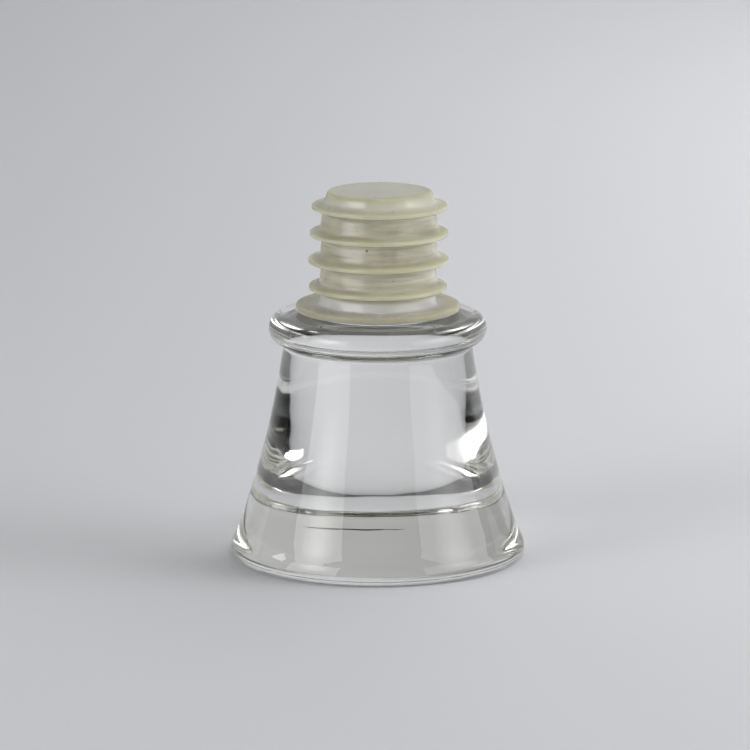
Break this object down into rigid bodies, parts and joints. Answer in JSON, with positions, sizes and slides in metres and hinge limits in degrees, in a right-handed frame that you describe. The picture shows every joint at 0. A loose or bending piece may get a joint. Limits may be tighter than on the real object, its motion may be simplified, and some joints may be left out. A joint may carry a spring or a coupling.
{
  "type": "bottle stopper",
  "caption": "Clear flared glass bottle stopper standing on its flat head, with a translucent finned plug sleeve pushed onto its peg.",
  "frame": {"origin": "centre of the flat glass base that the stopper stands on", "axes": "+Z along the axis of revolution, from the flat base to the plug's closed end; X and Y are any two directions across it"},
  "size_m": [0.045, 0.045, 0.0568],
  "materials": {
    "clear_glass": "fire-polished clear pressed glass, slightly wavy, colourless",
    "soft_polymer": "translucent pale straw-yellow soft polyethylene, satin moulded skin"
  },
  "bodies": {
    "head": {"glass_head": "clear_glass"},
    "sleeve": {"finned_sleeve": "soft_polymer"}
  },
  "joints": [
    {"name": "sleeve_pull", "type": "slide", "parent": "head", "child": "sleeve", "axis": [0, 0, 1], "range_m": [0, 0.022]}
  ]
}
